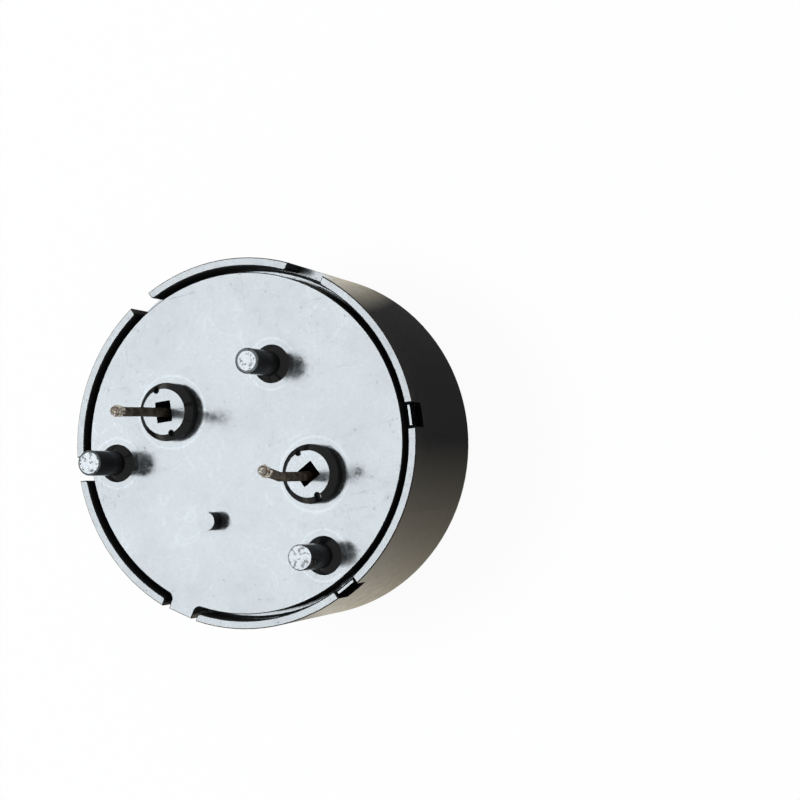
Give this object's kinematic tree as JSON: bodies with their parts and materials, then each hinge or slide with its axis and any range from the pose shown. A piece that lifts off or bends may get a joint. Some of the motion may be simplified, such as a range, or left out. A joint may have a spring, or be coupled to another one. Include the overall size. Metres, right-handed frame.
{
  "type": "piezo buzzer",
  "caption": "Round black piezo buzzer lying leads up: cup case with a sound hole, snap-in base plate with locating posts, and bent solder leads.",
  "frame": {"origin": "middle of the flat sound face, which the part lies on", "axes": "+Z from the sound face towards the leads, +X through both leads, +Y towards the key post"},
  "size_m": [0.022, 0.022, 0.0183],
  "materials": {
    "case_plastic": "moulded black thermoplastic with a fine matt skin and a satin side wall",
    "base_plastic": "moulded black thermoplastic with a smooth, slightly cloudy gloss",
    "brass": "rolled brass, satin",
    "ceramic": "fired piezo ceramic, matt",
    "silver": "fired silver paste, satin",
    "silicone": "soft translucent silicone bond",
    "lead_wire": "tinned copper alloy, tarnished dark",
    "solder": "old solder over a raw copper end, ragged and part bright"
  },
  "bodies": {
    "root": {"case": "case_plastic", "base_plate": "base_plastic", "bond_ring": "silicone", "brass_plate": "brass", "ceramic_disc": "ceramic", "electrode": "silver", "lead_left": "lead_wire", "lead_right": "lead_wire", "solder_left": "solder", "solder_right": "solder"}
  },
  "joints": []
}
